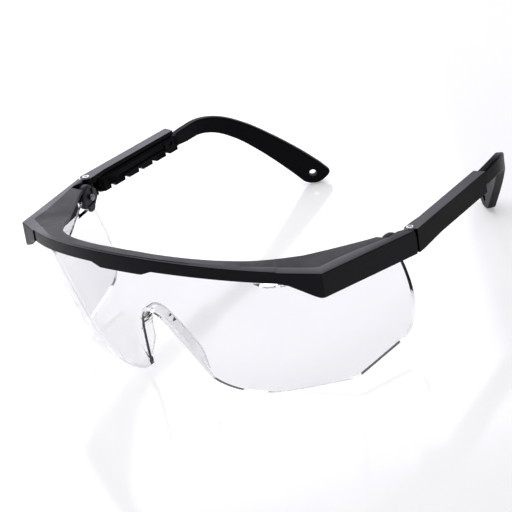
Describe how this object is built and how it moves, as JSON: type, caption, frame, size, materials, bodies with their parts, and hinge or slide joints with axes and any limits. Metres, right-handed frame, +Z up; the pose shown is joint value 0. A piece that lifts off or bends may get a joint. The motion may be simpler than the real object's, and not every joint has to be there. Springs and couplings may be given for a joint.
{
  "type": "safety glasses",
  "caption": "Wraparound safety glasses with a one-piece clear lens, a dark brow frame with side walls, tilting hinge blocks and folding, length-adjustable temples with curved ends.",
  "frame": {"origin": "middle of the bottom of the bounding box, on the surface that the glasses rest on", "axes": "+X towards the wearer's left, +Y from the brow towards the ear ends of the temples, +Z up towards the top of the brow"},
  "size_m": [0.161, 0.1774, 0.0675],
  "materials": {
    "frame_nylon": "satin black moulded nylon",
    "lens_clear": "clear polished polycarbonate",
    "pin_steel": "bright nickel-plated steel"
  },
  "bodies": {
    "frame": {"brow_frame": "frame_nylon", "lens": "lens_clear", "tilt_pin_left": "pin_steel", "tilt_pin_right": "pin_steel"},
    "hinge_left": {"hinge_block_left": "frame_nylon"},
    "housing_left": {"temple_housing_left": "frame_nylon", "hinge_pin_left": "pin_steel"},
    "temple_left": {"temple_arm_left": "frame_nylon"},
    "hinge_right": {"hinge_block_right": "frame_nylon"},
    "housing_right": {"temple_housing_right": "frame_nylon", "hinge_pin_right": "pin_steel"},
    "temple_right": {"temple_arm_right": "frame_nylon"}
  },
  "joints": [
    {"name": "tilt_left", "type": "hinge", "parent": "frame", "child": "hinge_left", "pos_m": [0.07881, -0.02559, 0.04691], "axis": [0.977, -0.2123, 0.0174], "range_deg": [-7, 7]},
    {"name": "fold_left", "type": "hinge", "parent": "hinge_left", "child": "housing_left", "pos_m": [0.0774, -0.01714, 0.04722], "axis": [0, 0.0816, 0.9967], "range_deg": [0, 78]},
    {"name": "length_left", "type": "slide", "parent": "housing_left", "child": "temple_left", "axis": [-0.0523, 0.9953, -0.0815], "range_m": [0, 0.017]},
    {"name": "tilt_right", "type": "hinge", "parent": "frame", "child": "hinge_right", "pos_m": [-0.07881, -0.02559, 0.04691], "axis": [0.977, 0.2123, -0.0174], "range_deg": [-7, 7]},
    {"name": "fold_right", "type": "hinge", "parent": "hinge_right", "child": "housing_right", "pos_m": [-0.0774, -0.01714, 0.04722], "axis": [0, -0.0816, -0.9967], "range_deg": [0, 88]},
    {"name": "length_right", "type": "slide", "parent": "housing_right", "child": "temple_right", "axis": [0.0523, 0.9953, -0.0815], "range_m": [0, 0.017]}
  ]
}
